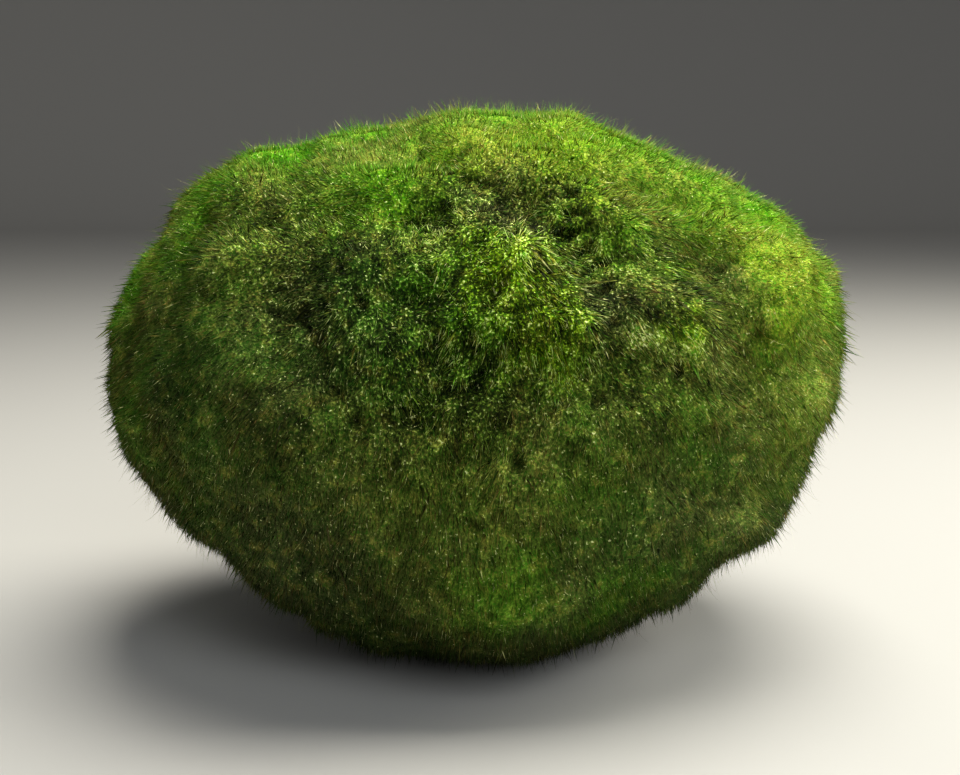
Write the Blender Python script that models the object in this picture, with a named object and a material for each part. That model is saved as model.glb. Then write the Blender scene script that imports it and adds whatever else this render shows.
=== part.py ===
"""Marimo moss ball: one grown ball of moss, wider than it is tall, that rests on a small flat spot.

Metres, +Z up, +Y away from the viewer. The origin is on the ground under the middle of the ball.
The ball is one closed solid. A round cage of square cells is drawn out to the ball's front outline
and depth. Knolls, pits, creases and ledges are raised or sunk in it, tufts are fused all over it,
and the underside is cut flat where the ball rests.
"""

import math
from typing import NamedTuple

import bmesh
import bpy
import numpy as np
from mathutils import Matrix, Vector, noise

MM = 0.001

# Front outline, anticlockwise from the right: angle in degrees and reach from the middle in mm
OUTLINE = (
    (0, 33.7), (8, 33.9), (18, 35.5), (28, 33.6), (41, 29.5), (54, 27.0), (70, 26.4), (82, 25.0),
    (91, 25.0), (101, 24.6), (113, 25.3), (126, 27.5), (136, 30.7), (147, 32.2), (163, 33.2),
    (173, 33.1), (184, 33.3), (198, 30.7), (211, 28.7), (225, 27.7), (243, 25.8), (262, 25.6),
    (287, 26.6), (304, 26.7), (317, 28.2), (327, 29.5), (336, 32.1), (342, 31.6), (351, 32.4),
)
FRONT_REACH = 31.5 * MM
BACK_REACH = 30.0 * MM
# 2 is an ellipse and higher is squarer
ROUNDING = 2.2
# Height of the middle of the outline over the ground, which cuts the flat spot
MIDDLE_HEIGHT = 24.8 * MM

# Square cells along each side of the cage's six faces
CELLS = 28

TUFTS = 190
TUFT_WIDTH = 6.4 * MM
TUFT_RISE = 1.5 * MM
TUFT_SEED = 11

ROUGH_SIZE = 3.9 * MM
ROUGH_RISE = 0.34 * MM
SWELL_SIZE = 15.0 * MM
SWELL_RISE = 1.1 * MM
# Height over the ground within which tufts and roughness fade out around the flat spot
FOOT_FADE = 2.5 * MM

MOSS_GREEN = (0.070, 0.150, 0.016, 1.0)
MOSS_ROUGHNESS = 0.9


class Mark(NamedTuple):
    """A knoll or a hollow, in mm: its place in the front view, half length, half width and rise.

    turn is the angle of its length from level, in degrees. Below its crest line a mark with a lip
    falls that many times faster than above it, which makes a ledge. A negative rise is a hollow.
    """

    name: str
    x: float
    z: float
    length: float
    width: float
    turn: float
    rise: float
    lip: float = 1.0
    back: bool = False


MARKS = (
    Mark("crown ridge", 3.0, 24.0, 13.0, 4.5, -2, 0.7),
    Mark("left crown knoll", -8.5, 18.6, 5.5, 3.6, 12, 1.3, 1.5),
    Mark("upper left corner", -22.0, 20.0, 5.0, 3.5, 35, 0.5),
    Mark("left shoulder knoll", -19.5, 14.0, 5.0, 4.0, 30, 0.9),
    Mark("middle knoll", 2.9, 13.2, 4.6, 3.2, -8, 1.5, 1.6),
    Mark("knoll beside the pits", 12.2, 16.4, 4.2, 3.4, -25, 1.2),
    Mark("middle ledge", 6.4, 7.6, 5.0, 2.4, -4, 1.5, 2.6),
    Mark("right ledge", 16.6, 8.9, 7.2, 2.8, -6, 1.4, 2.4),
    Mark("right lobe", 26.5, 11.5, 4.6, 6.2, 0, 1.2),
    Mark("low left knoll", -18.0, 0.5, 6.0, 5.0, 20, 0.9),
    Mark("low middle knoll", 1.0, -14.5, 6.0, 4.2, 0, 1.1),
    Mark("low right knoll", 12.5, -12.5, 5.0, 4.0, 25, 0.9),
    Mark("left pit under the crown", -2.4, 17.0, 2.8, 2.2, 10, -1.7),
    Mark("middle pit under the crown", 2.0, 19.0, 3.4, 2.1, -5, -1.8),
    Mark("right pit under the crown", 6.0, 17.4, 2.6, 2.1, -40, -1.6),
    Mark("pit below the crown", 8.9, 13.6, 2.8, 2.2, -30, -1.8),
    Mark("pit over the right lobe", 17.6, 17.6, 3.4, 2.0, -35, -1.7),
    Mark("left crease", -14.4, 17.0, 7.4, 1.9, 38, -1.4),
    Mark("left hollow", -15.4, 8.7, 4.2, 3.6, 0, -1.6),
    Mark("middle left hollow", -9.4, 4.2, 5.0, 3.2, -12, -1.7),
    Mark("middle hollow", -0.6, 5.2, 4.2, 3.0, 0, -1.8),
    Mark("hollow under the ledge", 6.6, 4.0, 4.6, 1.9, 0, -1.7),
    Mark("hollow under the right ledge", 16.4, 4.6, 5.4, 2.2, -4, -1.1),
    Mark("right crease", 21.2, 9.8, 2.0, 5.4, 8, -1.9),
    Mark("low middle hollow", 1.2, -1.2, 5.2, 2.6, 6, -0.9),
    Mark("low right hollow", 8.6, -8.2, 4.2, 2.4, 8, -1.1),
    Mark("back knoll", 9.0, 10.0, 7.0, 5.0, 15, 1.3, 1.5, True),
    Mark("back left knoll", -13.0, 4.0, 6.0, 5.0, -20, 1.2, 1.0, True),
    Mark("back crown knoll", -4.0, 20.0, 6.0, 3.6, 0, 1.0, 1.0, True),
    Mark("back low knoll", 4.0, -11.0, 7.0, 4.0, 10, 1.0, 1.0, True),
    Mark("back pit", 1.5, 15.5, 3.2, 2.2, 20, -1.9, 1.0, True),
    Mark("back crease", -1.5, 3.5, 2.2, 6.2, -25, -1.7, 1.0, True),
    Mark("back hollow", 15.5, 2.5, 5.0, 3.0, 10, -1.5, 1.0, True),
    Mark("back left hollow", -19.0, -4.0, 4.4, 3.0, 0, -1.3, 1.0, True),
    Mark("back shoulder pit", -14.5, 14.5, 3.0, 2.2, 30, -1.7, 1.0, True),
)


def smooth_reach(bearing):
    """Front reach in metres at a bearing in degrees: a smooth closed curve through OUTLINE."""
    angles = [angle for angle, _ in OUTLINE]
    reaches = [reach * MM for _, reach in OUTLINE]
    count = len(OUTLINE)
    angles = [angles[-2] - 360, angles[-1] - 360] + angles + [angles[0] + 360, angles[1] + 360]
    reaches = reaches[-2:] + reaches + reaches[:2]
    bearing = (bearing - angles[2]) % 360 + angles[2]
    step = 2
    while step < count + 1 and angles[step + 1] < bearing:
        step += 1
    start, end = angles[step], angles[step + 1]
    slope_in = (reaches[step + 1] - reaches[step - 1]) / (angles[step + 1] - angles[step - 1])
    slope_out = (reaches[step + 2] - reaches[step]) / (angles[step + 2] - angles[step])
    span = end - start
    t = (bearing - start) / span
    return (
        (2 * t**3 - 3 * t**2 + 1) * reaches[step]
        + (t**3 - 2 * t**2 + t) * span * slope_in
        + (3 * t**2 - 2 * t**3) * reaches[step + 1]
        + (t**3 - t**2) * span * slope_out
    )


def ball_point(direction):
    """Where a ray from the middle of the ball meets the smooth ball, without its marks."""
    x, y, z = direction
    side = math.hypot(x, z)
    depth = FRONT_REACH if y < 0 else BACK_REACH
    reach = smooth_reach(math.degrees(math.atan2(z, x)))
    scale = ((side / reach) ** ROUNDING + (abs(y) / depth) ** ROUNDING) ** (-1 / ROUNDING)
    return Vector(direction) * scale


def mark_centre(mark):
    """The point of the smooth ball that a mark's place in the front or back view stands for."""
    x, z = mark.x * MM, mark.z * MM
    reach = smooth_reach(math.degrees(math.atan2(z, x)))
    share = min(math.hypot(x, z) / reach, 0.98) ** ROUNDING
    depth = BACK_REACH if mark.back else -FRONT_REACH
    return Vector((x, depth * (1 - share) ** (1 / ROUNDING), z))


def mark_rise(mark, centre, point):
    """How far one mark raises or sinks a point of the smooth ball, in metres."""
    out = centre.normalized()
    level = Vector((0, 0, 1)).cross(out) if not mark.back else out.cross(Vector((0, 0, 1)))
    level.normalize()
    level = Matrix.Rotation(math.radians(-mark.turn if mark.back else mark.turn), 3, out) @ level
    across = out.cross(level) if not mark.back else level.cross(out)
    away = point - centre
    u = away.dot(level) / (mark.length * MM)
    v = away.dot(across) / (mark.width * MM)
    w = away.dot(out) / (2 * max(mark.length, mark.width) * MM)
    if v < 0:
        v *= mark.lip
    return mark.rise * MM * math.exp(-(u * u + v * v + w * w))


def tuft_centres():
    """Tuft middles spread evenly over the smooth ball on a spiral, each moved a little."""
    rng = np.random.default_rng(TUFT_SEED)
    golden_turn = math.pi * (3 - math.sqrt(5))
    centres = []
    for index in range(TUFTS):
        height = 1 - 2 * (index + 0.5) / TUFTS
        ring = math.sqrt(1 - height * height)
        turn = index * golden_turn
        spot = Vector((ring * math.cos(turn), ring * math.sin(turn), height))
        spot += Vector(rng.normal(0, 0.055, 3))
        centres.append((ball_point(spot.normalized()), rng.uniform(0.75, 1.2), rng.uniform(0.55, 1)))
    return centres


def tuft_rise(tufts, point):
    """Height of the highest tuft dome at a point, in metres, less the domes' middle height."""
    highest = 0.0
    for centre, size, rise in tufts:
        gap = (point - centre).length / (size * TUFT_WIDTH * 0.75)
        if gap < 1:
            highest = max(highest, rise * math.sqrt(1 - gap * gap))
    return (highest - 0.55) * TUFT_RISE


def swell(point):
    """Broad uneven growth of the whole ball, in metres."""
    return SWELL_RISE * noise.noise(point / SWELL_SIZE + Vector((4.7, 1.3, 8.2)))


def roughness(point):
    """Small unevenness between the tufts, in metres."""
    return ROUGH_RISE * noise.noise(point / ROUGH_SIZE)


def build_cage():
    """A round cage of even square cells: a cube whose faces are divided and blown out."""
    cage = bmesh.new()
    bmesh.ops.create_cube(cage, size=2.0)
    bmesh.ops.subdivide_edges(cage, edges=cage.edges[:], cuts=CELLS - 1, use_grid_fill=True)
    for vertex in cage.verts:
        even = [math.tan(value * math.pi / 4) for value in vertex.co]
        vertex.co = Vector(even).normalized()
    return cage


def grow_ball(cage):
    """Draws the cage out to the ball's surface with its marks and tufts."""
    marks = [(mark, mark_centre(mark)) for mark in MARKS]
    tufts = tuft_centres()
    for vertex in cage.verts:
        out = vertex.co.copy()
        point = ball_point(out)
        foot = min(max((point.z + MIDDLE_HEIGHT) / FOOT_FADE, 0), 1)
        rise = sum(mark_rise(mark, centre, point) for mark, centre in marks)
        rise += swell(point) + foot * (tuft_rise(tufts, point) + roughness(point))
        vertex.co = point + out * rise + Vector((0, 0, MIDDLE_HEIGHT))


def cut_foot(ball):
    """Cuts the underside off at the ground, and fills the cut with one flat face."""
    shape = ball.verts[:] + ball.edges[:] + ball.faces[:]
    cut = bmesh.ops.bisect_plane(
        ball, geom=shape, plane_co=(0, 0, 0), plane_no=(0, 0, -1), clear_outer=True
    )
    rim = [item for item in cut["geom_cut"] if isinstance(item, bmesh.types.BMEdge)]
    bmesh.ops.contextual_create(ball, geom=rim)


def centre_ball(ball):
    """Moves the ball sideways so that the origin is under the middle of its box."""
    for axis in (0, 1):
        values = [vertex.co[axis] for vertex in ball.verts]
        middle = (min(values) + max(values)) / 2
        for vertex in ball.verts:
            vertex.co[axis] -= middle


def moss_material():
    """Dull moss green."""
    material = bpy.data.materials.new("moss")
    material.use_nodes = True
    surface = material.node_tree.nodes["Principled BSDF"]
    surface.inputs["Base Color"].default_value = MOSS_GREEN
    surface.inputs["Roughness"].default_value = MOSS_ROUGHNESS
    surface.inputs["Metallic"].default_value = 0.0
    return material


def main():
    """Builds the moss ball in an empty scene."""
    for item in list(bpy.data.objects):
        bpy.data.objects.remove(item, do_unlink=True)
    ball = build_cage()
    grow_ball(ball)
    cut_foot(ball)
    centre_ball(ball)
    bmesh.ops.triangulate(ball, faces=ball.faces[:])
    bmesh.ops.recalc_face_normals(ball, faces=ball.faces[:])
    mesh = bpy.data.meshes.new("moss_ball")
    ball.to_mesh(mesh)
    ball.free()
    mesh.materials.append(moss_material())
    mesh.shade_smooth()
    bpy.context.scene.collection.objects.link(bpy.data.objects.new("moss_ball", mesh))


main()
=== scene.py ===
"""Dresses the marimo moss ball: its turf, its coat of filaments, the light, the floor and the camera."""

import logging
import math
from collections.abc import Callable
from dataclasses import dataclass, field
from enum import Enum

import bmesh
import bpy
import numpy as np
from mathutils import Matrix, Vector, noise
from mathutils.bvhtree import BVHTree
from mathutils.kdtree import KDTree


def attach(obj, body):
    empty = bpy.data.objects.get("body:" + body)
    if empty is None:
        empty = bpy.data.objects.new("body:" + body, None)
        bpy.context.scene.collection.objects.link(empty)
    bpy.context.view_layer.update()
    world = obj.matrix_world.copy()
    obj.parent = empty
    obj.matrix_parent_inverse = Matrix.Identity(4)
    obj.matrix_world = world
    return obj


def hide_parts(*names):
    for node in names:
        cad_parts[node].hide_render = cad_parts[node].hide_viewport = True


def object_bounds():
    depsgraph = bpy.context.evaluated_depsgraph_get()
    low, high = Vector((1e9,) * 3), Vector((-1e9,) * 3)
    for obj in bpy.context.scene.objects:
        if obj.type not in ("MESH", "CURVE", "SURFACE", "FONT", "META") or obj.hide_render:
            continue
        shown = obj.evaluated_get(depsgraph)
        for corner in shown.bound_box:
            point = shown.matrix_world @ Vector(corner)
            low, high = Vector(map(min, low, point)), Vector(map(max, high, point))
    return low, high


# Short names for types that come often
Piece = bpy.types.Object
Rows = np.ndarray
Socket = bpy.types.NodeSocket
Range = tuple[float, float]
Triple = tuple[float, float, float]
# Where a change starts and ends, and what it goes from and to
Ramp = tuple[float, float, float, float]

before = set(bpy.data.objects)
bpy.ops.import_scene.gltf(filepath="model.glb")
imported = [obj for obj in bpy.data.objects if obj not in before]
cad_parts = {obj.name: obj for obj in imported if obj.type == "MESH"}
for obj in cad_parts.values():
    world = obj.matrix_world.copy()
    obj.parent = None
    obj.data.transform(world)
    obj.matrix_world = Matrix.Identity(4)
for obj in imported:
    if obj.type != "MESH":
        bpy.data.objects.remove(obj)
cad_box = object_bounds()

log = logging.getLogger("moss_ball")

MM = 0.001
BALL_NODE = "moss_ball"
BALL_BODY = "root"

# Names of the values that the turf and the filaments carry for their finish
ALONG = "along"
TINT = "tint"
LIFT = "lift"
ROUGH = "rough"
BAKE_MAP = "OFBake"

# A distance from a spot counts less from front to back
DEPTH_SHARE = 0.4
# A patch or shade is whole up to this share of its radius, and fades out by the next one
SPOT_CORE = 0.3
SPOT_RIM = 1.5


class Hue(Enum):
    """Colours of the moss as red, green and blue, linear, with a painted shade, a painted highlight and pale
    tips that are partly painted glints among them. The last three tint the others.
    """

    SPRING = (0.345, 0.600, 0.008)
    LEAF = (0.150, 0.430, 0.010)
    VIVID = (0.150, 0.410, 0.004)
    GRASS = (0.091, 0.380, 0.003)
    LIME = (0.430, 0.560, 0.026)
    OLIVE = (0.272, 0.375, 0.048)
    BROWN = (0.235, 0.255, 0.085)
    AMBER = (0.420, 0.370, 0.060)
    # A dark green that paints shade: low down, in the hollows and on the left side
    PAINTED_SHADE = (0.112, 0.150, 0.042)
    STRAW_AND_GLINT = (0.900, 0.920, 0.420)
    PAINTED_HIGHLIGHT = (0.850, 0.920, 0.400)
    PLAIN = (1.0, 1.0, 1.0)
    RUDDY = (1.45, 0.95, 1.3)
    GRASSY = (0.52, 0.98, 0.5)


class Side(Enum):
    """Which half of the ball a place in the front view is on."""

    FRONT = -1
    BACK = 1


def surface_of(ball: Piece) -> BVHTree:
    """The ball's outer surface, for finding places on it.

    Args:
        ball: the ball's solid.

    Returns:
        Its faces, in mm.
    """
    places = [vertex.co / MM for vertex in ball.data.vertices]
    return BVHTree.FromPolygons(places, [tuple(face.vertices) for face in ball.data.polygons])


ball_surface = surface_of(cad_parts[BALL_NODE])


@dataclass(frozen=True)
class Spot:
    """A named place on the ball: across and up from its middle in the front view, on one side, in mm."""

    name: str
    x: float
    z: float
    radius: float
    side: Side = field(default=Side.FRONT, kw_only=True)

    def middle(self) -> Vector:
        """Where the spot lies on the ball's surface.

        Returns:
            Its place, in mm.
        """
        low, high = (Vector(corner) / MM for corner in cad_box)
        start = (low + high) / 2 + Vector((self.x, 0, self.z))
        start.y = (high.y if self.side is Side.BACK else low.y) * 2
        place = ball_surface.ray_cast(start, Vector((0, -self.side.value, 0)))[0]
        if place is None:
            start.y = 0
            place = ball_surface.find_nearest(start)[0]
        return place

    def nearness(self, places: Rows) -> Rows:
        """How near points are to the spot.

        Args:
            places: rows of x, y and z, in metres.

        Returns:
            A share for each point, one at the spot and none far off.
        """
        away = places / MM - np.array(self.middle())
        away[:, 1] *= DEPTH_SHARE
        return np.exp(-(away**2).sum(1) / self.radius**2)


@dataclass(frozen=True)
class Patch(Spot):
    """A part of the ball with a colour of its own."""

    hue: Hue
    strength: float


@dataclass(frozen=True)
class Shade(Spot):
    """A part of the ball that is lighter than the rest, or darker where its gain is below one: partly the
    moss's own tone, partly painted light and shade.
    """

    gain: float


@dataclass(frozen=True)
class Comb(Spot):
    """A part of the ball whose filaments lie one way. Its turn is in degrees, from rightwards up."""

    turn: float
    lean: float


@dataclass(frozen=True)
class Fray(Spot):
    """A part that is more broken up than the rest, or calmer where its share is below none."""

    share: float


class Pit(Fray):
    """A small ragged hole in the coat, nearly black."""


# Patches in the dark green hue of painted shade (left shade, left hollow, right hollow, ledge shade, low
# left) paint shade on the side away from the light, in the hollows and low down
PATCHES = (
    Patch("crown", 6.0, 21.4, 10.8, Hue.LIME, 0.5),
    Patch("crown edge", 4.3, 24.3, 5.3, Hue.GRASS, 0.4),
    Patch("bright knoll", -7.1, 17.5, 5.6, Hue.VIVID, 0.9),
    Patch("left crown edge", -14.5, 22.0, 6.5, Hue.GRASS, 0.4),
    Patch("right crown", 15.4, 20.5, 7.4, Hue.VIVID, 0.35),
    Patch("right crown edge", 25.4, 16.3, 4.8, Hue.VIVID, 0.5),
    Patch("brown pits", 3.2, 16.6, 4.3, Hue.BROWN, 0.6),
    Patch("yellow knoll", 2.7, 12.4, 4.5, Hue.SPRING, 0.85),
    Patch("left slope", -16.6, 14.5, 6.9, Hue.OLIVE, 0.7),
    Patch("left shade", -23.0, 3.5, 9.5, Hue.PAINTED_SHADE, 0.6),
    Patch("left hollow", -10.0, 8.3, 7.4, Hue.PAINTED_SHADE, 0.7),
    Patch("middle hollow", -3.6, 8.0, 6.0, Hue.LEAF, 0.35),
    Patch("right slope", 15.6, 6.5, 7.5, Hue.OLIVE, 0.85),
    Patch("right slope, brown", 19.1, 7.2, 5.0, Hue.BROWN, 0.4),
    Patch("right shoulder", 26.5, 12.0, 9.0, Hue.LIME, 0.5),
    Patch("right hollow", 20.5, 10.6, 2.6, Hue.PAINTED_SHADE, 0.7),
    Patch("right yellow tuft", 17.3, 6.9, 2.5, Hue.SPRING, 0.7),
    Patch("outer yellow tuft", 25.4, 5.4, 2.6, Hue.SPRING, 0.6),
    Patch("ledge", 6.0, 9.5, 3.2, Hue.SPRING, 0.7),
    Patch("ledge shade", 11.0, 9.0, 2.9, Hue.PAINTED_SHADE, 0.7),
    Patch("green tuft", 6.4, 5.5, 3.3, Hue.SPRING, 0.6),
    Patch("right rim", 28.7, -1.0, 8.2, Hue.OLIVE, 0.8),
    Patch("low belly", -1.0, -7.6, 10.8, Hue.OLIVE, 0.65),
    Patch("low middle", 2.8, -14.4, 4.2, Hue.LEAF, 0.5),
    Patch("low right", 9.8, -4.1, 4.1, Hue.LEAF, 0.2),
    Patch("low right foot", 12.0, -16.0, 5.0, Hue.LEAF, 0.5),
    Patch("low left", -14.4, -13.6, 10.6, Hue.PAINTED_SHADE, 0.8),
    Patch("back crown", -6.0, 17.0, 11.0, Hue.SPRING, 0.7, side=Side.BACK),
    Patch("back slope", 12.0, 8.0, 10.0, Hue.OLIVE, 0.7, side=Side.BACK),
    Patch("back hollow", -12.0, 0.0, 9.0, Hue.BROWN, 0.6, side=Side.BACK),
    Patch("back green", 2.0, -8.0, 9.0, Hue.LEAF, 0.6, side=Side.BACK),
)

# Partly the moss's own tone, partly painted light and shade: the lit right edge and rim, the bright knolls
# and tufts, and shade on the left, under the right crown, in the hollows and low down
TONES_AND_PAINTED_LIGHT = (
    Shade("left edge", -29.0, 4.5, 3.5, 0.5),
    Shade("left shoulder", -23.5, 12.5, 3.5, 0.4),
    Shade("left crest", -17.0, 17.0, 4.5, 0.6),
    Shade("left flank", -23.5, 2.0, 4.0, 0.6),
    Shade("left belly", -15.0, 0.0, 4.5, 0.4),
    Shade("left hollow", -10.0, 12.5, 4.5, 0.5),
    Shade("yellow knoll", 3.0, 12.0, 3.5, 2.0),
    Shade("between the pits", 10.0, 14.0, 2.0, 2.0),
    Shade("under the right crown", 21.0, 14.0, 3.5, 0.5),
    Shade("middle hollow", 1.0, 3.0, 2.5, 0.6),
    Shade("green tuft", 7.5, 5.5, 3.0, 2.2),
    Shade("ledge tuft", 13.0, 6.0, 2.5, 1.5),
    Shade("right hollow", 16.0, 10.0, 2.5, 0.5),
    Shade("right yellow tuft", 17.0, 6.5, 2.0, 1.8),
    Shade("outer yellow tuft", 23.5, 7.0, 2.0, 1.5),
    Shade("right edge", 30.0, 10.0, 3.5, 1.3),
    Shade("right belly", 14.5, 1.5, 4.0, 0.6),
    Shade("right rim", 30.0, 1.0, 5.5, 1.6),
    Shade("low right edge", 22.5, -9.5, 4.0, 1.5),
    Shade("low belly", -5.0, -2.0, 4.0, 0.6),
    Shade("low left", -11.0, -13.5, 5.0, 0.7),
    Shade("low middle", -2.5, -11.5, 4.0, 0.6),
    Shade("low right", 7.0, -11.0, 3.5, 0.7),
)

FRAYS = (
    Fray("under the crown", 3.6, 14.7, 7.0, 0.75),
    Fray("upper middle", 0.7, 10.8, 6.5, 0.35),
    Fray("middle", -1.0, 3.8, 8.2, 0.5),
    Fray("left middle", -10.8, 8.2, 6.6, 0.3),
    Fray("left slope", -14.9, 14.5, 6.0, 0.35),
    Fray("right slope", 14.7, 7.3, 7.4, 0.35),
    Fray("crown", 4.4, 23.8, 7.5, -0.2),
    Fray("right shoulder", 25.5, 13.5, 7.1, -0.15),
    Fray("left crown edge", -14.5, 21.6, 5.8, -0.15),
    Fray("back, high", 1.0, 14.0, 9.0, 0.6, side=Side.BACK),
    Fray("back, middle", -10.0, 4.0, 10.0, 0.4, side=Side.BACK),
)

PITS = (
    Pit("left of the pits", -4.9, 15.3, 1.1, 0.7),
    Pit("left hole", -2.5, 15.0, 1.4, 1.0),
    Pit("upper hole", 1.4, 17.3, 1.7, 0.9),
    Pit("middle hole", 3.3, 15.9, 1.6, 1.0),
    Pit("lower hole", 5.4, 14.9, 1.3, 1.0),
    Pit("right upper hole", 7.5, 17.0, 1.3, 0.8),
    Pit("right hole", 8.5, 15.1, 1.4, 0.9),
    Pit("hole below", 6.5, 13.4, 1.2, 0.7),
    Pit("deep hole", 10.2, 12.1, 1.5, 1.0),
    Pit("right lobe", 18.2, 15.4, 1.4, 0.7),
    Pit("right crease", 20.6, 11.3, 1.4, 0.7),
    Pit("left middle", -12.9, 7.4, 1.5, 0.7),
    Pit("middle", 0.5, 2.9, 1.6, 0.7),
    Pit("left of the middle", -4.2, 1.3, 1.4, 0.6),
    Pit("right of the middle", 15.9, 3.6, 1.3, 0.6),
    Pit("below the middle", 2.9, -1.5, 1.8, 0.6),
    Pit("back, high", 1.5, 15.5, 2.0, 1.0, side=Side.BACK),
    Pit("back, left of that", -3.0, 13.5, 1.7, 0.9, side=Side.BACK),
    Pit("back, right of that", 5.5, 12.5, 1.7, 0.9, side=Side.BACK),
    Pit("back shoulder", -14.5, 14.5, 1.8, 0.8, side=Side.BACK),
    Pit("back middle", -8.0, 3.0, 2.0, 0.7, side=Side.BACK),
)

COMBS = (
    Comb("right slope", 15.6, 9.0, 9.1, -28, 0.55),
    Comb("middle ledge", 5.5, 10.4, 4.9, -55, 0.4),
    Comb("left shoulder", -18.0, 12.9, 7.6, 150, 0.45),
    Comb("bright knoll", -6.7, 18.7, 5.2, -80, 0.2),
    Comb("yellow knoll", 3.2, 14.7, 4.1, -70, 0.25),
    Comb("low middle", 0.7, -7.6, 11.7, -90, 0.4),
    Comb("back slope", 8.0, 8.0, 12.0, -60, 0.4, side=Side.BACK),
    Comb("back shoulder", -14.0, 12.0, 9.0, -120, 0.4, side=Side.BACK),
)

# Where stray hairs stand out from the coat
TUFTS = (
    Spot("left shoulder", -21.4, 18.7, 4.6),
    Spot("left edge", -27.7, 8.8, 5.5),
    Spot("crown", 2.5, 24.3, 7.6),
    Spot("right crown", 16.5, 20.5, 4.7),
    Spot("right shoulder", 26.5, 13.4, 5.4),
    Spot("lower left edge", -24.3, -9.7, 7.4),
    Spot("lower right edge", 25.6, -9.7, 7.4),
)


def deselect_all() -> None:
    """Leaves object mode with nothing selected."""
    if bpy.context.object and bpy.context.object.mode != "OBJECT":
        bpy.ops.object.mode_set(mode="OBJECT")
    bpy.ops.object.select_all(action="DESELECT")


def take(piece: Piece) -> None:
    """Makes a piece the only selected and the active one.

    Args:
        piece: the object to act on.
    """
    deselect_all()
    piece.select_set(True)
    bpy.context.view_layer.objects.active = piece


def pick_vertices(piece: Piece, wanted: Callable[[Rows], Rows]) -> None:
    """Selects only the wanted vertices of the piece that is in edit mode.

    Args:
        piece: the object in edit mode.
        wanted: says of rows of x, y and z which of them are selected.
    """
    bpy.ops.mesh.select_all(action="DESELECT")
    shape = bmesh.from_edit_mesh(piece.data)
    picks = wanted(np.array([vertex.co for vertex in shape.verts]))
    for vertex, pick in zip(shape.verts, picks):
        vertex.select = bool(pick)
    shape.select_flush(True)
    bmesh.update_edit_mesh(piece.data)


def close_mesh() -> None:
    """Makes the mesh in edit mode all triangles that face outwards, and leaves edit mode."""
    bpy.ops.mesh.select_all(action="SELECT")
    bpy.ops.mesh.quads_convert_to_tris()
    bpy.ops.mesh.normals_make_consistent(inside=False)
    bpy.ops.object.mode_set(mode="OBJECT")


def vertex_values(mesh: bpy.types.Mesh, what: str) -> Rows:
    """Reads the places or the normals of a mesh's vertices.

    Args:
        mesh: the mesh to read.
        what: "co" for places or "normal" for outward directions.

    Returns:
        One row of x, y and z for each vertex.
    """
    values = np.empty(len(mesh.vertices) * 3)
    mesh.vertices.foreach_get(what, values)
    return values.reshape(-1, 3)


def keep_value(mesh: bpy.types.Mesh, name: str, values: Rows) -> None:
    """Stores one number for each vertex, for the finish to read.

    Args:
        mesh: the mesh that carries the numbers.
        name: what the finish calls them.
        values: the numbers.
    """
    layer = mesh.attributes.new(name, "FLOAT", "POINT")
    layer.data.foreach_set("value", values.astype(np.float32))


def unit(vectors: Rows) -> Rows:
    """Scales each row to length one.

    Args:
        vectors: rows of x, y and z.

    Returns:
        The rows at length one.
    """
    return vectors / np.maximum(np.linalg.norm(vectors, axis=1, keepdims=True), 1e-9)


def flattened(vectors: Rows, normals: Rows) -> Rows:
    """Takes from each row its share along a direction.

    Args:
        vectors: rows of x, y and z.
        normals: the direction for each row, of length one.

    Returns:
        The rows, square to their directions.
    """
    return vectors - normals * (vectors * normals).sum(1, keepdims=True)


@dataclass
class Surface:
    """Points on the turf: their places and outward directions, and three shares for each.

    A lift says how high it stands: none in a hollow, a half on the level, one on a ridge. A rough says how
    broken up the ball is there, and a hole how deep in a small hole it is.
    """

    places: Rows
    outward: Rows
    lifts: Rows
    roughs: Rows
    holes: Rows

    def between(self, picks: Rows, weights: Rows) -> "Surface":
        """Points between these ones.

        Args:
            picks: for each new point, the numbers of the points around it.
            weights: how much each of those counts.

        Returns:
            The new points.
        """
        rows = (self.places, self.outward, self.lifts, self.roughs, self.holes)
        found = Surface(*(np.einsum("nk...,nk->n...", values[picks], weights) for values in rows))
        found.outward = unit(found.outward)
        return found


def wandering(places: Rows, size: float) -> Rows:
    """A direction that wanders over the ball.

    Args:
        places: rows of x, y and z.
        size: how far apart its turns are.

    Returns:
        A direction for each place, of varying length.
    """
    return np.array([noise.noise_vector(Vector(place) / size) for place in places])


@dataclass(frozen=True)
class Relief:
    """One size of unevenness on the turf, in metres."""

    name: str
    size: float
    rise: float
    level: float
    creased: bool


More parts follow.
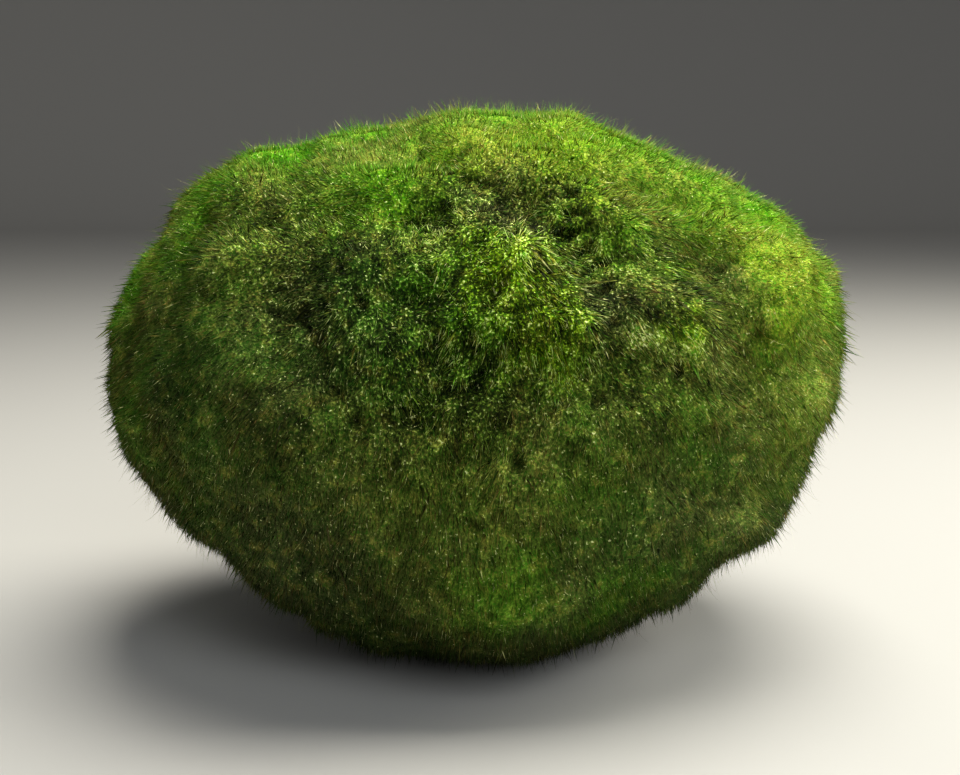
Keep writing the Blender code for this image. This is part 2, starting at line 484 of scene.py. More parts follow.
@dataclass
class MossTurf:
    """The matted layer that the filaments grow from, drawn in from the ball's shape. Sizes are in metres."""

    name: str = "moss_turf"
    depth: float = 1.0 * MM
    weld: float = 0.01 * MM
    rounding: float = 0.6
    reliefs: tuple[Relief, ...] = (
        Relief("tufts", 2.8 * MM, 1.2 * MM, 0.38, True),
        Relief("locks", 1.2 * MM, 0.8 * MM, 0.5, False),
    )
    lift_span: float = 1.5 * MM
    calm_share: float = 0.28
    hole_depth: float = 0.8 * MM
    hole_size: float = 1.2 * MM
    hole_start: float = 0.45
    hole_reach: float = 0.55
    hole_edge: float = 0.2
    fine_from: float = 0.12
    fill: float = 0.5 * MM
    full_below: float = 38.0 * MM
    full_fade: float = 10.0 * MM
    piece: Piece = field(init=False)
    skin: Surface = field(init=False)

    def build(self) -> Piece:
        """Copies the ball's solid, draws it in, makes it finer round the pits and roughens it.

        Returns:
            The turf.
        """
        deselect_all()
        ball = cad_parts[BALL_NODE]
        turf = bpy.data.objects.new(self.name, ball.data.copy())
        bpy.context.scene.collection.objects.link(turf)
        turf.data.name = self.name
        turf.data.materials.clear()
        take(turf)
        bpy.ops.object.mode_set(mode="EDIT")
        bpy.ops.mesh.select_all(action="SELECT")
        bpy.ops.mesh.remove_doubles(threshold=self.weld)
        bpy.ops.mesh.subdivide(number_cuts=1, smoothness=self.rounding)
        bpy.ops.transform.shrink_fatten(value=-self.depth)
        pick_vertices(turf, lambda places: self.pitting(places) > self.fine_from)
        bpy.ops.mesh.subdivide(number_cuts=1)
        close_mesh()
        self.roughen(turf)
        bpy.ops.object.shade_smooth()
        keep_value(turf.data, LIFT, self.skin.lifts)
        keep_value(turf.data, ROUGH, self.skin.roughs)
        self.piece = turf
        return turf

    def ruggedness(self, places: Rows) -> Rows:
        """How broken up the ball is at each place.

        Args:
            places: rows of x, y and z.

        Returns:
            A share for each place.
        """
        return np.clip(self.calm_share + sum(fray.nearness(places) * fray.share for fray in FRAYS), 0, 1)

    @staticmethod
    def pitting(places: Rows) -> Rows:
        """How near a pit each place is.

        Args:
            places: rows of x, y and z.

        Returns:
            A share for each place.
        """
        return np.max([pit.nearness(places) * pit.share for pit in PITS], axis=0)

    def hollowness(self, places: Rows) -> Rows:
        """How deep in a small hole each place is. The holes are ragged, and most of them are in the pits.

        Args:
            places: rows of x, y and z.

        Returns:
            A share for each place.
        """
        grain = np.array([noise.noise(Vector(place) / self.hole_size) for place in places])
        depth = grain + self.pitting(places) * self.hole_reach - self.hole_start
        return np.clip(depth / self.hole_edge, 0, 1)

    @staticmethod
    def displace(turf: Piece, shares: Rows, strength: float, relief: Relief | None = None) -> None:
        """Moves the surface out or in, and keeps the result.

        Args:
            turf: the piece that is selected.
            shares: how much each vertex moves.
            strength: how far out, in metres.
            relief: varies the distance from place to place.
        """
        group = turf.vertex_groups.new()
        for index, share in enumerate(shares):
            group.add([index], share, "REPLACE")
        moved = turf.modifiers.new(group.name, "DISPLACE")
        moved.vertex_group = group.name
        moved.mid_level = relief.level if relief else 0.0
        moved.strength = strength
        if relief:
            clouds = bpy.data.textures.new(relief.name, "CLOUDS")
            clouds.noise_scale = relief.size
            clouds.noise_depth = 1
            clouds.noise_type = "HARD_NOISE" if relief.creased else "SOFT_NOISE"
            moved.texture = clouds
            moved.texture_coords = "LOCAL"
        bpy.ops.object.modifier_apply(modifier=moved.name)
        turf.vertex_groups.clear()

    def roughen(self, turf: Piece) -> None:
        """Fills out the lower part, sinks the holes and raises the tufts.

        Args:
            turf: the drawn-in copy of the ball.
        """
        heights = vertex_values(turf.data, "co")[:, 2]
        self.displace(turf, np.clip((self.full_below - heights) / self.full_fade, 0, 1), self.fill)
        level = vertex_values(turf.data, "co")
        outward = vertex_values(turf.data, "normal")
        roughs, holes = self.ruggedness(level), self.hollowness(level)
        self.displace(turf, holes, -self.hole_depth)
        for relief in self.reliefs:
            self.displace(turf, roughs, relief.rise, relief)
        places = vertex_values(turf.data, "co")
        lifts = np.clip(0.5 + ((places - level) * outward).sum(1) / self.lift_span, 0, 1)
        self.skin = Surface(places, vertex_values(turf.data, "normal"), lifts, roughs, holes)

    def scatter(self, count: int, seed: int) -> Surface:
        """Picks points all over the turf, evenly by area.

        Args:
            count: how many points.
            seed: makes the same choice each run.

        Returns:
            The points.
        """
        mesh = self.piece.data
        mesh.calc_loop_triangles()
        corners = np.empty(len(mesh.loop_triangles) * 3, int)
        mesh.loop_triangles.foreach_get("vertices", corners)
        corners = corners.reshape(-1, 3)
        first, second, third = (self.skin.places[corners[:, i]] for i in range(3))
        area = np.linalg.norm(np.cross(second - first, third - first), axis=1)
        rng = np.random.default_rng(seed)
        picked = corners[np.searchsorted(np.cumsum(area) / area.sum(), rng.random(count))]
        u, v = rng.random(count), rng.random(count)
        over = u + v > 1
        u[over], v[over] = 1 - u[over], 1 - v[over]
        return self.skin.between(picked, np.stack([1 - u - v, u, v], 1))


@dataclass
class Fleece:
    """How the filaments stand: the locks they lean in and the flow over the ball. Sizes are in metres."""

    turf: MossTurf
    lock_count: int = 9000
    seed: int = 5
    flow_size: float = 8.0 * MM
    flow_lean: float = 0.26
    lock_size: float = 2.2 * MM
    lock_lean: float = 0.42
    droop: float = 0.5
    gather: float = 0.45
    middles: Rows = field(init=False)
    leans: Rows = field(init=False)
    shades: Rows = field(init=False)
    tree: KDTree = field(init=False)

    def __post_init__(self) -> None:
        """Places the locks and gives each its lean and its shade."""
        noise.seed_set(self.seed)
        spots = self.turf.scatter(self.lock_count, self.seed)
        rng = np.random.default_rng(self.seed + 1)
        lean = wandering(spots.places, self.flow_size) * self.flow_lean
        lean += wandering(spots.places, self.lock_size) * self.lock_lean * spots.roughs[:, None]
        for comb in COMBS:
            turn = math.radians(comb.turn)
            way = np.array([math.cos(turn), 0, math.sin(turn)])
            lean += comb.nearness(spots.places)[:, None] * way * comb.lean
        lean[:, 2] -= self.droop
        self.middles = spots.places
        self.leans = flattened(lean, spots.outward)
        self.shades = rng.random(self.lock_count)
        self.tree = KDTree(self.lock_count)
        for index, place in enumerate(spots.places):
            self.tree.insert(place, index)
        self.tree.balance()

    def locks_of(self, places: Rows) -> Rows:
        """Finds the lock that each point belongs to.

        Args:
            places: rows of x, y and z.

        Returns:
            The lock's number for each point.
        """
        return np.array([self.tree.find(place)[1] for place in places])

    def leaning(self, spots: Surface, locks: Rows, gather: float) -> Rows:
        """Which way filaments lean: with their lock, and in to its middle where the ball is broken up.

        Args:
            spots: where the filaments stand.
            locks: the number of each one's lock.
            gather: how much they follow the pull to the middle.

        Returns:
            A lean for each filament.
        """
        pull = (self.middles[locks] - spots.places) / MM * spots.roughs[:, None] ** 2
        return self.leans[locks] + pull * self.gather * gather


@dataclass
class Coat:
    """One kind of filament, copied all over the ball into one mesh. Its sizes are in metres.

    Strays and growth are what holds everywhere and what a rough or high place adds. Bitten is how many are
    cut short in a hole, and to what share.
    """

    name: str
    count: int
    seed: int
    height: Range
    width: Range
    belly: float = 0.7
    gather: float = 1.0
    scatter_lean: float = 0.15
    curl: float = 0.12
    calm_height: float = 0.6
    root: float = 0.4 * MM
    longest: float = 2.2 * MM
    rings: tuple[float, ...] = ()
    ground: float = 0.25 * MM
    proud: float = 1.1 * MM
    lock_shade: float = 0.55
    least_tint: float = 0.0
    tufted: bool = False
    strays: Range = (0.7, 0.6)
    growth: Range = (0.75, 0.5)
    hole_growth: float = 0.5
    bitten: Range = (0.6, 0.3)
    pressed_least: float = 0.3
    floor_gap: float = 0.02 * MM
    choice: int = 4
    loose_weight: float = 0.2
    least_reach: float = 0.2
    least_left: float = 0.35
    place_seed: int = 1000
    cell_half: float = 0.46

    def model_filament(self) -> Piece:
        """Models the one filament that is copied: a closed three-sided sliver, thin at both ends.

        Returns:
            The filament, with its root at the origin, its tip at height one and its belly of width one.
        """
        deselect_all()
        radius = 1 / math.sqrt(3)
        bpy.ops.mesh.primitive_cone_add(
            vertices=3, radius1=radius, radius2=0.0, depth=1.0, end_fill_type="NGON", location=(0, 0, 0.5),
        )
        filament = bpy.context.object
        bpy.ops.object.transform_apply(location=True, rotation=True, scale=True)
        take(filament)
        bpy.ops.object.mode_set(mode="EDIT")
        pick_vertices(filament, lambda places: (places[:, 2] < 0.5) & (places[:, 1] < 0))
        bpy.ops.transform.translate(value=(0, 0, self.belly))
        pick_vertices(filament, lambda places: places[:, 2] < 0.01)
        bpy.ops.transform.translate(value=(0, -radius, 0))
        for height in self.rings:
            bpy.ops.mesh.select_all(action="SELECT")
            bpy.ops.mesh.bisect(plane_co=(0, 0, height), plane_no=(0, 0, 1))
        close_mesh()
        return filament

    def build(self, turf: MossTurf, fleece: Fleece) -> Piece:
        """Copies the filament over the turf.

        Args:
            turf: what they grow from.
            fleece: how they stand.

        Returns:
            All filaments of this kind as one mesh.
        """
        master = self.model_filament()
        shape = vertex_values(master.data, "co")
        faces = np.array([tuple(face.vertices) for face in master.data.polygons])
        bpy.data.objects.remove(master, do_unlink=True)
        places, values = self.grow(shape, turf, fleece)
        corners = (faces[None] + np.arange(self.count)[:, None, None] * len(shape)).reshape(-1, 3)
        mesh = bpy.data.meshes.new(self.name)
        mesh.vertices.add(len(places))
        mesh.vertices.foreach_set("co", places.ravel())
        mesh.loops.add(corners.size)
        mesh.loops.foreach_set("vertex_index", corners.ravel().astype(np.int32))
        mesh.polygons.add(len(corners))
        mesh.polygons.foreach_set("loop_start", np.arange(0, corners.size, 3, dtype=np.int32))
        mesh.update(calc_edges=True)
        keep_value(mesh, ALONG, np.tile(shape[:, 2], self.count))
        for name, numbers in values.items():
            keep_value(mesh, name, np.repeat(numbers, len(shape)))
        self.lay_out(mesh, shape, corners)
        piece = bpy.data.objects.new(self.name, mesh)
        bpy.context.scene.collection.objects.link(piece)
        mesh.shade_smooth()
        return piece

    def grow(self, shape: Rows, turf: MossTurf, fleece: Fleece) -> tuple[Rows, dict[str, Rows]]:
        """Works out where every copy stands and how it bends.

        Args:
            shape: the modelled filament's vertices.
            turf: what they grow from.
            fleece: how they stand.

        Returns:
            Every vertex's place, and the values that each filament carries.
        """
        rng = np.random.default_rng(self.seed)
        spots = self.places(turf, rng)
        lock = fleece.locks_of(spots.places)
        stray = rng.normal(0, self.scatter_lean, (self.count, 3))
        stray *= self.strays[0] + self.strays[1] * spots.roughs[:, None]
        lean = fleece.leaning(spots, lock, self.gather) + stray
        way = unit(spots.outward + flattened(lean, spots.outward))
        height = rng.uniform(*self.height, self.count)
        height *= self.growth[0] + self.growth[1] * spots.lifts
        height *= 1 - self.hole_growth * spots.holes
        height *= np.clip(self.calm_height + spots.roughs, 0, 1)
        height[rng.random(self.count) < spots.holes * self.bitten[0]] *= self.bitten[1]
        length = np.minimum(height / (way * spots.outward).sum(1), self.longest)
        bend = rng.normal(0, self.curl, (self.count, 3))
        bend[:, 2] -= self.curl
        bend = flattened(bend, way)
        start = spots.places - way * self.root
        whole = self.trimmed(start, way + bend, length + self.root)
        across = unit(np.cross(way, rng.normal(0, 1, (self.count, 3))))
        third = np.cross(way, across)
        width = rng.uniform(*self.width, self.count)
        share = shape[None, :, 2, None]
        side = across[:, None] * shape[None, :, 0, None] + third[:, None] * shape[None, :, 1, None]
        side *= width[:, None, None]
        curve = way[:, None] * share + bend[:, None] * share**2
        places = start[:, None] + whole[:, None, None] * curve + side
        squeezed = self.ground * (self.pressed_least + (1 - self.pressed_least) * rng.random(self.count))
        low = places[:, :, 2] < self.ground
        places[:, :, 2] = np.where(low, squeezed[:, None] + side[:, :, 2], places[:, :, 2])
        places[:, :, 2] = np.maximum(places[:, :, 2], self.floor_gap)
        lock_lift = (fleece.shades[lock] - 0.5) * self.lock_shade * (0.5 + spots.roughs)
        lifts = np.clip(spots.lifts + lock_lift, 0, 1)
        tints = rng.uniform(self.least_tint, 1, self.count)
        return places.reshape(-1, 3), {TINT: tints, LIFT: lifts, ROUGH: spots.roughs}

    def places(self, turf: MossTurf, rng: np.random.Generator) -> Surface:
        """Picks where the filaments stand: all over, or mostly in the tufts.

        Args:
            turf: what they grow from.
            rng: the source of chance.

        Returns:
            A point for each filament.
        """
        if not self.tufted:
            return turf.scatter(self.count, self.seed + self.place_seed)
        offered = self.count * self.choice
        spots = turf.scatter(offered, self.seed + self.place_seed)
        weight = self.loose_weight + sum(tuft.nearness(spots.places) for tuft in TUFTS)
        chosen = rng.choice(offered, self.count, replace=False, p=weight / weight.sum())
        return spots.between(chosen[:, None], np.ones((self.count, 1)))

    def trimmed(self, start: Rows, reach: Rows, whole: Rows) -> Rows:
        """Shortens the filaments whose tips would stand too far outside the ball's box.

        Args:
            start: where each filament's root is.
            reach: from root to tip, for a length of one.
            whole: each filament's length.

        Returns:
            The lengths, trimmed.
        """
        tips = start + reach * whole[:, None]
        low, high = (np.array(corner) for corner in cad_box)
        over = np.maximum(tips - high - self.proud, low - self.proud - tips)
        excess = np.maximum(over, 0) / np.maximum(np.abs(reach), self.least_reach)
        return np.maximum(whole - excess.max(1), self.least_left * whole)

    def lay_out(self, mesh: bpy.types.Mesh, shape: Rows, corners: Rows) -> None:
        """Gives each filament its own cell on the map that the finish is baked on.

        Args:
            mesh: the joined filaments.
            shape: the modelled filament's vertices.
            corners: the vertex numbers of each face.
        """
        cells = math.ceil(math.sqrt(self.count))
        filament, corner = corners // len(shape), corners % len(shape)
        across = shape[corner, 0]
        sideways = np.where(np.abs(across) > 0.01, 0.5 + self.cell_half * np.sign(across), 0.5)
        upwards = 0.5 + self.cell_half * (2 * shape[corner, 2] - 1)
        column, row = filament % cells, filament // cells
        spread = np.stack([(column + sideways) / cells, (row + upwards) / cells], 2)
        layer = mesh.uv_layers.new(name=BAKE_MAP)
        layer.data.foreach_set("uv", spread.ravel().astype(np.float32))


@dataclass
class Nodes:
    """Short ways to add and join nodes in one tree."""

    tree: bpy.types.NodeTree

    def add(self, kind: str, inputs: dict | None = None, **settings: object) -> bpy.types.Node:
        """Adds one node.

        Args:
            kind: the node's type.
            inputs: values or sockets for its inputs, by name or number.
            settings: properties of the node.

        Returns:
            The new node.
        """
        node = self.tree.nodes.new(kind)
        for key, value in settings.items():
            setattr(node, key, value)
        for key, value in (inputs or {}).items():
            if isinstance(value, Socket):
                self.tree.links.new(value, node.inputs[key])
            else:
                node.inputs[key].default_value = value
        return node

    def number(self, operation: str, *values: object) -> Socket:
        """Works on numbers.

        Args:
            operation: the name of the sum.
            values: its numbers or sockets.

        Returns:
            The result.
        """
        return self.add("ShaderNodeMath", dict(enumerate(values)), operation=operation).outputs[0]

    def product(self, first: object, *others: object) -> Socket:
        """Multiplies numbers.

        Args:
            first: a number or its socket.
            others: more of them.

        Returns:
            The product.
        """
        for other in others:
            first = self.number("MULTIPLY", first, other)
        return first

    def vector(self, operation: str, first: object, second: object) -> Socket:
        """Works on two vectors or colours, or scales one.

        Args:
            operation: the name of the sum.
            first: a vector or its socket.
            second: another one, or the scale.

        Returns:
            The result, which is a number where the sum is a distance.
        """
        key = "Scale" if operation == "SCALE" else 1
        node = self.add("ShaderNodeVectorMath", {0: first, key: second}, operation=operation)
        return node.outputs["Value" if operation == "DISTANCE" else "Vector"]

    def blend(self, share: object, first: object, second: object) -> Socket:
        """Mixes two colours.

        Args:
            share: how much of the second colour shows.
            first: a hue, or a colour's socket.
            second: a hue, or a colour's socket.

        Returns:
            The mixed colour.
        """
        colors = ((*color.value, 1.0) if isinstance(color, Hue) else color for color in (first, second))
        return self.add("ShaderNodeMix", {0: share, **dict(zip((6, 7), colors))}, data_type="RGBA").outputs[2]

    def spread(
        self, value: object, low: float, high: float, to_low: float = 0.0, to_high: float = 1.0
    ) -> Socket:
        """Maps a range of values to another, smoothly, held at its ends.

        Args:
            value: the value or socket to map.
            low: where the range starts.
            high: where it ends.
            to_low: the result at the start.
            to_high: the result at the end.

        Returns:
            The mapped value.
        """
        inputs = {0: value, 1: low, 2: high, 3: to_low, 4: to_high}
        return self.add("ShaderNodeMapRange", inputs, interpolation_type="SMOOTHSTEP").outputs[0]

    def mottle(self, place: Socket, scale: float, detail: float) -> bpy.types.Node:
        """Adds a noise over the ball.

        Args:
            place: the place, in mm.
            scale: how many of its spots there are in a mm.
            detail: how many finer layers it has.

        Returns:
            The noise node.
        """
        return self.add("ShaderNodeTexNoise", {"Vector": place, "Scale": scale, "Detail": detail})


@dataclass(frozen=True)
class MossHue:
    """The colour of the moss at a place on the ball, with painted light and shade, for the turf and for every
    filament. Sizes are in mm.
    """

    name: str = "moss hue"
    ragged_scale: float = 0.30
    ragged_reach: float = 8.0
    mottle_scale: float = 0.16
    mottle_span: Range = (0.36, 0.64)
    fine_scale: float = 0.9
    fine_ramp: Ramp = (0.36, 0.64, 0.72, 1.28)
    amber_ramp: Ramp = (0.5, 0.7, 0.0, 0.4)
    painted_low_shade_ramp: Ramp = (40.0, 12.0, 0.0, 0.78)
    painted_ridge_light_ramp: Ramp = (0.6, 1.0, 0.0, 0.45)
    painted_relief_shade_ramp: Ramp = (0.15, 0.85, 0.16, 1.3)
    painted_root_shade_tip_light_ramp: Ramp = (0.35, 1.0, 0.24, 1.5)
    least_tint: float = 0.22
    tint_span: float = 2.0
    tint_power: float = 2.6
    tone_and_glint_scale: float = 3.2
    tone_and_glint_ramp: Ramp = (0.34, 0.68, 0.45, 1.7)
    contrast_ramp: Ramp = (0.0, 1.0, 0.17, 1.10)
    rough_ramp: Ramp = (0.2, 1.0, 1.0, 1.7)
    painted_foot_shade_ramp: Ramp = (0.0, 11.0, 0.35, 1.0)
    crest: float = 3.2
    crest_gain: float = 1.22
    painted_highlight_ramp: Ramp = (1.2, 3.6, 0.0, 0.8)
    streak_turn_deg: float = 28.0
    streak_scale: Triple = (0.13, 0.5, 0.5)
    streak_spot: Spot = Spot("right slope", 16.4, 7.0, 8.5)
    streak_reach: Range = (1.4, 0.5)
    painted_tuft_streak_ramp: Ramp = (0.38, 0.62, 0.45, 1.75)
    hue_turns: float = 13.0
    straw_and_glint_tints: Range = (0.98, 0.99)
    straw_and_glint_ramp: Ramp = (0.50, 0.64, 0.0, 0.9)

    def build(self) -> bpy.types.NodeTree:
        """Builds the node group.

        Returns:
            The group. Its place is in mm.
        """
        group = bpy.data.node_groups.new(self.name, "ShaderNodeTree")
        face = group.interface
        face.new_socket("Place", in_out="INPUT", socket_type="NodeSocketVector")
        values = ("Lift", "Rough", "Tint", "Along")
        for name in values:
            face.new_socket(name, in_out="INPUT", socket_type="NodeSocketFloat")
        face.new_socket("Color", in_out="OUTPUT", socket_type="NodeSocketColor")
        nodes = Nodes(group)
        given = nodes.add("NodeGroupInput")
        place, lift, rough, tint, along = (given.outputs[name] for name in ("Place", *values))
        own_hue = nodes.number("FRACT", nodes.product(tint, self.hue_turns))
        ragged = self.ragged(nodes, place)
        color = self.local_color(nodes, place, ragged, lift)
        for reach, tone in ((1.0, Hue.RUDDY), (0.0, Hue.GRASSY)):
            own_tone = nodes.blend(nodes.spread(own_hue, 0.5, reach), Hue.PLAIN, tone)
            color = nodes.vector("MULTIPLY", color, own_tone)
        own = nodes.number("POWER", tint, self.tint_power)
        own = nodes.number("MULTIPLY_ADD", own, self.tint_span, self.least_tint)
        # Painted shade and light from the relief: dark in the hollows and pits, light on the ridges. The lift
        # also carries each lock's random tone
        height = nodes.spread(lift, *self.painted_relief_shade_ramp)
        # Painted shade at each filament's root, down in the coat, and painted light at its tip
        rise = nodes.spread(along, *self.painted_root_shade_tip_light_ramp)
        # Fine bright and dark dashes along the filaments: partly random tone, partly painted glints
        grain = nodes.mottle(place, self.tone_and_glint_scale, 1.0).outputs["Fac"]
        broken = nodes.spread(grain, *self.tone_and_glint_ramp)
        shade = nodes.product(own, height, rise, broken)
        contrast = nodes.spread(rough, *self.contrast_ramp)
        fine = nodes.mottle(place, self.fine_scale, 2.0).outputs["Fac"]
        patchy = nodes.spread(fine, *self.fine_ramp)
        gain = nodes.spread(rough, *self.rough_ramp)
        # Painted shade: darker over the lowest 11 mm, down to where the ball meets the floor
        up = nodes.add("ShaderNodeSeparateXYZ", {0: place}).outputs[2]
        foot = nodes.spread(up, *self.painted_foot_shade_ramp)
        wide = nodes.product(patchy, gain, foot, self.tone_and_painted_light(nodes, place, ragged))
        light = nodes.product(nodes.number("POWER", shade, contrast), wide)
        held = nodes.number("DIVIDE", light, nodes.number("MULTIPLY_ADD", light, 1 / self.crest, 1.0))
        shaded = nodes.vector("SCALE", color, nodes.product(held, self.crest_gain))
        # Painted highlight: the lightest places turn a pale gold
        highlight_share = nodes.spread(light, *self.painted_highlight_ramp)
        shaded = nodes.blend(highlight_share, shaded, Hue.PAINTED_HIGHLIGHT)
        # Pale tips on a few filaments: partly pale old filaments, partly painted glints
        upper = nodes.spread(along, *self.straw_and_glint_ramp)
        pale = nodes.product(nodes.spread(tint, *self.straw_and_glint_tints), upper)
        nodes.add("NodeGroupOutput", {"Color": nodes.blend(pale, shaded, Hue.STRAW_AND_GLINT)})
        return group

    def ragged(self, nodes: Nodes, place: Socket) -> Socket:
        """The place moved about a little, for ragged edges.

        Args:
            nodes: the tree to build in.
            place: the place, in mm.

        Returns:
            The place moved, in mm.
        """
        warp = nodes.mottle(place, self.ragged_scale, 3.0).outputs["Color"]
        shift = nodes.vector("SUBTRACT", warp, (0.5, 0.5, 0.5))
        return nodes.vector("ADD", place, nodes.vector("SCALE", shift, self.ragged_reach))

    def local_color(self, nodes: Nodes, place: Socket, ragged: Socket, lift: Socket) -> Socket:
        """The colour of the patches and the mottling, with the painted shade low down and in the hollows and
        the painted light on the ridges, before the rest of the light and shade.

        Args:
            nodes: the tree to build in.
            place: the place, in mm.
            ragged: the place moved about a little, in mm.
            lift: how high the relief stands.

        Returns:
            The colour.
        """
        height = nodes.add("ShaderNodeSeparateXYZ", {0: ragged}).outputs[2]
        broad = nodes.mottle(place, self.mottle_scale, 4.0).outputs["Fac"]
        color = nodes.blend(nodes.spread(broad, *self.mottle_span), Hue.LEAF, Hue.OLIVE)
        # Painted shade: below 40 mm up the moss blends towards the dark green, to most of it by 12 mm up
        deep = nodes.spread(height, *self.painted_low_shade_ramp)
        color = nodes.blend(deep, color, Hue.PAINTED_SHADE)
        for patch in PATCHES:
            mask = self.faded(nodes, ragged, patch, 0.0, patch.strength)
            color = nodes.blend(mask, color, patch.hue)
        fine = nodes.mottle(place, self.fine_scale, 2.0).outputs["Fac"]
        amber = nodes.spread(fine, *self.amber_ramp)
        color = nodes.blend(amber, color, Hue.AMBER)
        # Painted light: the high ridges turn a paler yellow-green
        ridge = nodes.spread(lift, *self.painted_ridge_light_ramp)
        return nodes.blend(ridge, color, Hue.SPRING)

    def tone_and_painted_light(self, nodes: Nodes, place: Socket, ragged: Socket) -> Socket:
        """Painted light and shade, partly the moss's own tone: the listed lighter and darker parts, and the
        bright crests and dark gaps painted as the long tufts of the right slope.

        Args:
            nodes: the tree to build in.
            place: the place, in mm.
            ragged: the place moved about a little, in mm.

        Returns:
            A gain.
        """
        gain = 1.0
        for shade in TONES_AND_PAINTED_LIGHT:
            gain = nodes.product(gain, self.faded(nodes, ragged, shade, 1.0, shade.gain))
        # Painted light and shade: streaks across the right slope give bright crests and dark gaps in place of
        # modelled tufts
        turn = (0.0, math.radians(-self.streak_turn_deg), 0.0)
        turned = nodes.add("ShaderNodeMapping", {"Vector": place, "Rotation": turn}).outputs[0]
        along = nodes.add("ShaderNodeMapping", {"Vector": turned, "Scale": self.streak_scale}).outputs[0]
        streak = nodes.mottle(along, 1.0, 2.0).outputs["Fac"]
        tufted = nodes.spread(streak, *self.painted_tuft_streak_ramp)
        spot = self.streak_spot
        gap = nodes.vector("DISTANCE", place, spot.middle())
        share = nodes.spread(gap, *(spot.radius * reach for reach in self.streak_reach))
        change = nodes.number("MULTIPLY_ADD", nodes.number("SUBTRACT", tufted, 1.0), share, 1.0)
        return nodes.product(gain, change)

    @staticmethod
    def faded(nodes: Nodes, place: Socket, spot: Spot, away: float, inside: float) -> Socket:
        """A value that changes from the rest of the ball to the middle of a spot.

        Args:
            nodes: the tree to build in.
            place: the place, in mm.
            spot: the spot.
            away: the value away from the spot.
            inside: the value in its middle.

        Returns:
            The value at the place.
        """
        gap = nodes.vector("DISTANCE", place, spot.middle())
        return nodes.spread(gap, spot.radius * SPOT_RIM, spot.radius * SPOT_CORE, away, inside)


@dataclass(frozen=True)
class MossFinish:
    """How the moss takes light. The turf has a grain, and one share of a filament's height."""

    name: str
    roughness: float
    gloss: float
    through: float = 0.0
    grain: float = 0.0
    along: float | None = None
    grit_scale: float = 4.5
    grit_span: Range = (0.4, 0.72)
    grit_depth: float = 0.3 * MM

    def build(self, hue: bpy.types.NodeTree) -> bpy.types.Material:
        """Makes the material.

        Args:
            hue: the shared colour of the moss.

        Returns:
            The material.
        """
        material = bpy.data.materials.new(self.name)
        material.use_nodes = True
        tree = material.node_tree
        tree.nodes.clear()
        nodes = Nodes(tree)
        where = nodes.add("ShaderNodeTexCoord").outputs["Object"]
        scale = (1 / MM, 1 / MM, 1 / MM)
        place = nodes.add("ShaderNodeMapping", {"Vector": where, "Scale": scale}).outputs[0]
        grit = nodes.mottle(place, self.grit_scale, 2.0).outputs["Fac"]
        inputs = {"Place": place}
        if self.grain:
            inputs |= {"Tint": nodes.spread(grit, *self.grit_span), "Along": self.along}
        for name in (LIFT, ROUGH) if self.grain else (LIFT, ROUGH, TINT, ALONG):
            inputs[name.capitalize()] = nodes.add("ShaderNodeAttribute", attribute_name=name).outputs["Fac"]
        color = nodes.add("ShaderNodeGroup", inputs, node_tree=hue).outputs["Color"]
        principled = {"Base Color": color, "Roughness": self.roughness, "Specular IOR Level": self.gloss}
        surface = nodes.add("ShaderNodeBsdfPrincipled", principled)
        if self.grain:
            relief = {"Height": grit, "Strength": self.grain, "Distance": self.grit_depth}
            bump = nodes.add("ShaderNodeBump", relief)
            tree.links.new(bump.outputs[0], surface.inputs["Normal"])
        shown = surface.outputs[0]
        if self.through:
            lit = nodes.add("ShaderNodeBsdfTranslucent", {"Color": color}).outputs[0]
            shown = nodes.add("ShaderNodeMixShader", {0: self.through, 1: shown, 2: lit}).outputs[0]
        nodes.add("ShaderNodeOutputMaterial", {"Surface": shown})
        return material


@dataclass(frozen=True)
class Lamp:
    """A square soft light that faces the ball. Sizes are in metres and the power is in watts."""

    name: str
    place: Triple
    size: float
    power: float
    color: Triple

    def build(self, target: Vector) -> None:
        """Puts the light up.

        Args:
            target: what it faces.
        """
        lamp = bpy.data.lights.new(self.name, "AREA")
        lamp.size = self.size
        lamp.energy = self.power
        lamp.color = self.color
        holder = bpy.data.objects.new(self.name, lamp)
        holder.location = self.place
        holder.rotation_euler = (target - Vector(self.place)).to_track_quat("-Z", "Y").to_euler()
        bpy.context.scene.collection.objects.link(holder)


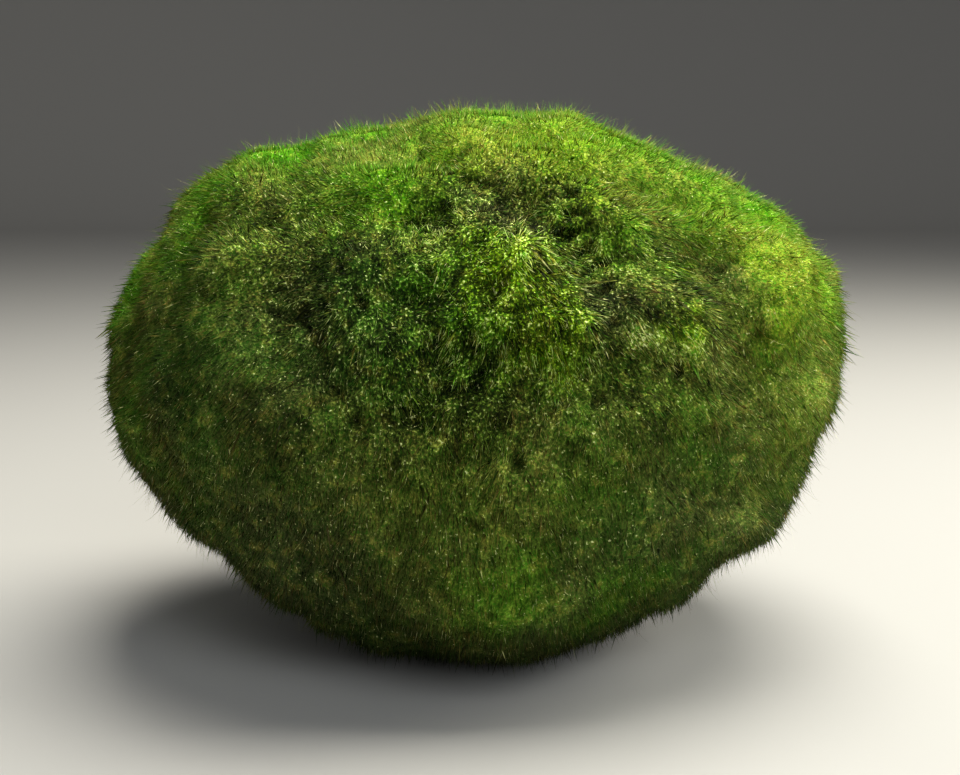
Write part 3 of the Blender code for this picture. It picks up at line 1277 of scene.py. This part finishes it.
@dataclass(frozen=True)
class Studio:
    """The plain floor and backdrop, the soft lights and the camera. Its sizes are in metres."""

    floor_size: float = 2.4
    sweep_radius: float = 0.35
    floor_color: Triple = (0.335, 0.327, 0.310)
    floor_roughness: float = 0.85
    glow: float = 0.22
    camera_distance: float = 0.1418
    camera_rise_deg: float = 8.6
    lens_mm: float = 56.0
    sensor_mm: float = 36.0
    nearest: float = 0.005
    aim: Triple = (0.0009, 0.0, 0.0237)
    lamps: tuple[Lamp, ...] = (
        Lamp("key", (0.060, 0.010, 0.33), 0.22, 2.35, (1.0, 0.98, 0.90)),
        Lamp("rim", (0.32, 0.10, 0.20), 0.18, 1.3, (1.0, 0.97, 0.86)),
        Lamp("fill", (0.15, -0.38, 0.25), 0.25, 1.15, (0.95, 1.0, 1.05)),
    )

    def build(self) -> None:
        """Makes the floor, the lights, the world and the camera."""
        self.floor()
        self.world()
        target = Vector(self.aim)
        for lamp in self.lamps:
            lamp.build(target)
        self.camera(target)

    def floor(self) -> None:
        """A pale floor that sweeps up behind the ball."""
        deselect_all()
        bpy.ops.mesh.primitive_plane_add(size=self.floor_size, location=(0, 0, 0))
        floor = bpy.context.object
        floor.name = floor.data.name = "floor"
        bpy.ops.object.mode_set(mode="EDIT")
        pick_vertices(floor, lambda places: places[:, 1] > 0)
        bpy.ops.mesh.extrude_region_move(TRANSFORM_OT_translate={"value": (0, 0, self.floor_size)})
        pick_vertices(floor, lambda places: (places[:, 1] > 0) & (places[:, 2] < 0.01))
        bpy.ops.mesh.bevel(offset=self.sweep_radius, segments=16, affect="EDGES")
        bpy.ops.object.mode_set(mode="OBJECT")
        bpy.ops.object.shade_smooth()
        material = bpy.data.materials.new("pale floor")
        material.use_nodes = True
        surface = material.node_tree.nodes["Principled BSDF"]
        surface.inputs["Base Color"].default_value = (*self.floor_color, 1)
        surface.inputs["Roughness"].default_value = self.floor_roughness
        floor.data.materials.append(material)

    def world(self) -> None:
        """A weak even light from all around."""
        world = bpy.data.worlds.new("studio")
        world.use_nodes = True
        background = world.node_tree.nodes["Background"]
        background.inputs["Color"].default_value = (1.0, 1.0, 1.0, 1)
        background.inputs["Strength"].default_value = self.glow
        bpy.context.scene.world = world

    def camera(self, target: Vector) -> None:
        """The camera in front of the ball, a little above its middle.

        Args:
            target: what it faces.
        """
        lens = bpy.data.cameras.new("camera")
        lens.lens = self.lens_mm
        lens.sensor_width = self.sensor_mm
        lens.clip_start = self.nearest
        rise = math.radians(self.camera_rise_deg)
        back = Vector((0, -math.cos(rise), math.sin(rise))) * self.camera_distance
        holder = bpy.data.objects.new("camera", lens)
        holder.location = target + back
        holder.rotation_euler = (-back).to_track_quat("-Z", "Y").to_euler()
        bpy.context.scene.collection.objects.link(holder)
        bpy.context.scene.camera = holder


# Heights, widths and belly of the filaments of each short coat, sizes in mm
SHORT_COATS = (
    ((0.40, 0.75), (0.036, 0.058), 0.78),
    ((0.40, 0.8), (0.036, 0.055), 0.7),
    ((0.5, 0.95), (0.032, 0.050), 0.5),
    ((0.6, 1.1), (0.028, 0.045), 0.4),
)
SHORT_COUNT = 49500
SHORT_SEED = 20

COATS = (
    *(
        Coat(
            f"short_fleece_{number}", SHORT_COUNT, SHORT_SEED + number,
            tuple(size * MM for size in heights), tuple(size * MM for size in widths), belly=belly,
        )
        for number, (heights, widths, belly) in enumerate(SHORT_COATS, 1)
    ),
    Coat(
        "long_fleece", 20000, 25, (0.9 * MM, 2.0 * MM), (0.020 * MM, 0.032 * MM), belly=0.3, gather=0.0,
        longest=2.8 * MM,
    ),
    Coat(
        "stray_hairs", 3000, 26, (1.4 * MM, 2.8 * MM), (0.02 * MM, 0.032 * MM), belly=0.2, gather=0.0,
        scatter_lean=0.3, curl=0.3, longest=4 * MM, rings=(0.45, 0.75), least_tint=0.8, tufted=True,
    ),
)


def hand_over(piece: Piece, finish: bpy.types.Material) -> None:
    """Dresses a piece, lets it ride on the ball's body and reports it.

    Args:
        piece: the finished mesh.
        finish: its material.
    """
    piece.data.materials.append(finish)
    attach(piece, BALL_BODY)
    triangles = sum(len(face.vertices) - 2 for face in piece.data.polygons)
    log.info("%s: %d triangles", piece.name, triangles)


def main() -> None:
    """Builds the turf and its coats, dresses them and sets the studio."""
    logging.basicConfig(level=logging.INFO, format="%(name)s: %(message)s")
    hue = MossHue().build()
    turf_finish = MossFinish("matted moss", roughness=0.9, gloss=0.05, grain=0.9, along=0.6)
    filament_finish = MossFinish("moss filaments", roughness=0.5, gloss=0.10, through=0.5)
    turf = MossTurf()
    piece = turf.build()
    hand_over(piece, turf_finish.build(hue))
    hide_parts(BALL_NODE)
    fleece = Fleece(turf)
    filament_material = filament_finish.build(hue)
    for coat in COATS:
        hand_over(coat.build(turf, fleece), filament_material)
    Studio().build()
    bpy.context.scene.view_settings.view_transform = "Standard"


if __name__ == "__main__":
    main()
